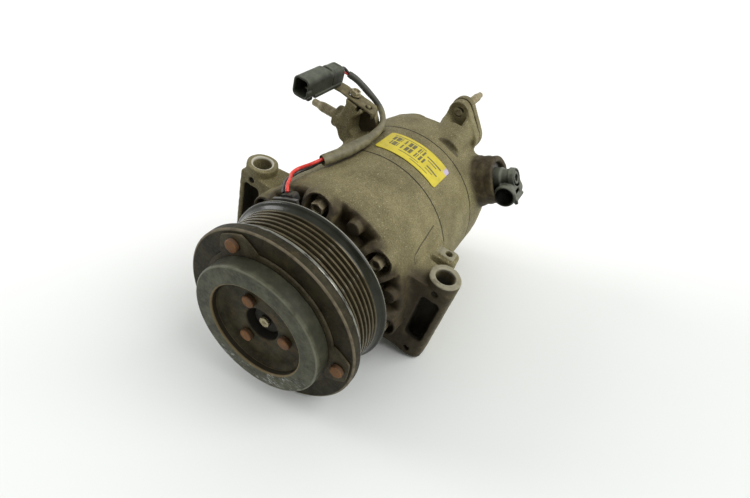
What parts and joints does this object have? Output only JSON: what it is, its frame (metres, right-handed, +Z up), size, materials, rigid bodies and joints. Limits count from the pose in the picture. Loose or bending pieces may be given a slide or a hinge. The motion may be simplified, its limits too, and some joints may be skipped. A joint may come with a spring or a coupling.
{
  "type": "automotive air-conditioning compressor",
  "caption": "Belt-driven automotive air-conditioning compressor: grooved pulley with electromagnetic clutch, cast aluminium body, side mounting lugs, control valve and coil lead.",
  "frame": {"origin": "centre of the bounding box at floor level; the part lies as pictured, on the belly of its body and on the lower edge of its right lug", "axes": "+Y along the drive shaft from the clutch to the rear, +Z up, +X to the right seen from the clutch"},
  "size_m": [0.1816, 0.2592, 0.1689],
  "materials": {
    "cast_aluminium": "dusty sand-cast",
    "block_aluminium": "dusty cast",
    "piston_aluminium": "machined",
    "bearing_steel": "ground",
    "bolt_steel": "worn plating",
    "pulley_iron": "worn with rust in the grooves",
    "armature_iron": "dark with a worn edge",
    "hub_steel": "dark, grimy",
    "cup_steel": "scratched",
    "rusty_rivet": "rusty",
    "brass": "dull",
    "zinc_plate": "yellowed zinc plate",
    "rubber": "matt",
    "gasket_sheet": "matt",
    "black_plastic": "satin",
    "sleeve_plastic": "dusty",
    "red_insulation": "satin",
    "black_insulation": "satin",
    "yellow_paper": "worn film"
  },
  "bodies": {
    "housing": {"front_housing": "cast_aluminium", "rear_head": "cast_aluminium", "cylinder_block": "block_aluminium", "port_plate": "block_aluminium", "piston_1": "piston_aluminium", "piston_2": "piston_aluminium", "piston_3": "piston_aluminium", "piston_4": "piston_aluminium", "piston_5": "piston_aluminium", "piston_6": "piston_aluminium", "piston_7": "piston_aluminium", "valve_plate": "bearing_steel", "bearing_inner_race": "bearing_steel", "valve_snap_ring": "bearing_steel", "clutch_coil": "bearing_steel", "front_needle_bearing": "bearing_steel", "rear_needle_bearing": "bearing_steel", "thrust_bearing": "bearing_steel", "through_bolt_1": "bolt_steel", "through_bolt_2": "bolt_steel", "through_bolt_3": "bolt_steel", "through_bolt_4": "bolt_steel", "through_bolt_5": "bolt_steel", "through_bolt_6": "bolt_steel", "through_bolt_7": "bolt_steel", "connector_bracket": "hub_steel", "control_valve": "brass", "port_stud": "zinc_plate", "bracket_screw": "zinc_plate", "lug_stud": "zinc_plate", "block_seal_ring": "rubber", "shaft_lip_seal": "rubber", "coil_grommet": "rubber", "head_gasket": "gasket_sheet", "valve_connector": "black_plastic", "connector_housing": "black_plastic", "harness_sleeve": "sleeve_plastic", "red_wire": "red_insulation", "black_wire": "black_insulation", "label": "yellow_paper"},
    "pulley": {"pulley": "pulley_iron", "bearing_outer_race": "bearing_steel", "bearing_snap_ring": "bearing_steel"},
    "rotor": {"drive_shaft": "bearing_steel", "lug_plate": "bolt_steel", "swash_plate": "bolt_steel", "swash_spring": "bearing_steel", "clutch_hub": "hub_steel", "damper_cup": "cup_steel", "damper_rubber": "rubber", "hub_bolt": "brass", "inner_rivet_1": "rusty_rivet", "inner_rivet_2": "rusty_rivet", "inner_rivet_3": "rusty_rivet"},
    "armature": {"armature_plate": "armature_iron", "spring_plate": "hub_steel", "outer_rivet_1": "rusty_rivet", "outer_rivet_2": "rusty_rivet", "outer_rivet_3": "rusty_rivet"}
  },
  "joints": [
    {"name": "pulley_spin", "type": "hinge", "parent": "housing", "child": "pulley", "pos_m": [-0.00069, -0.0824, 0.0606], "axis": [0, 1, 0], "continuous": true},
    {"name": "shaft_spin", "type": "hinge", "parent": "housing", "child": "rotor", "pos_m": [-0.00069, -0.0824, 0.0606], "axis": [0, 1, 0], "continuous": true},
    {"name": "armature_slide", "type": "slide", "parent": "rotor", "child": "armature", "axis": [0, 1, 0], "range_m": [0, 0.0005], "stiffness_N_per_m": 20000}
  ]
}
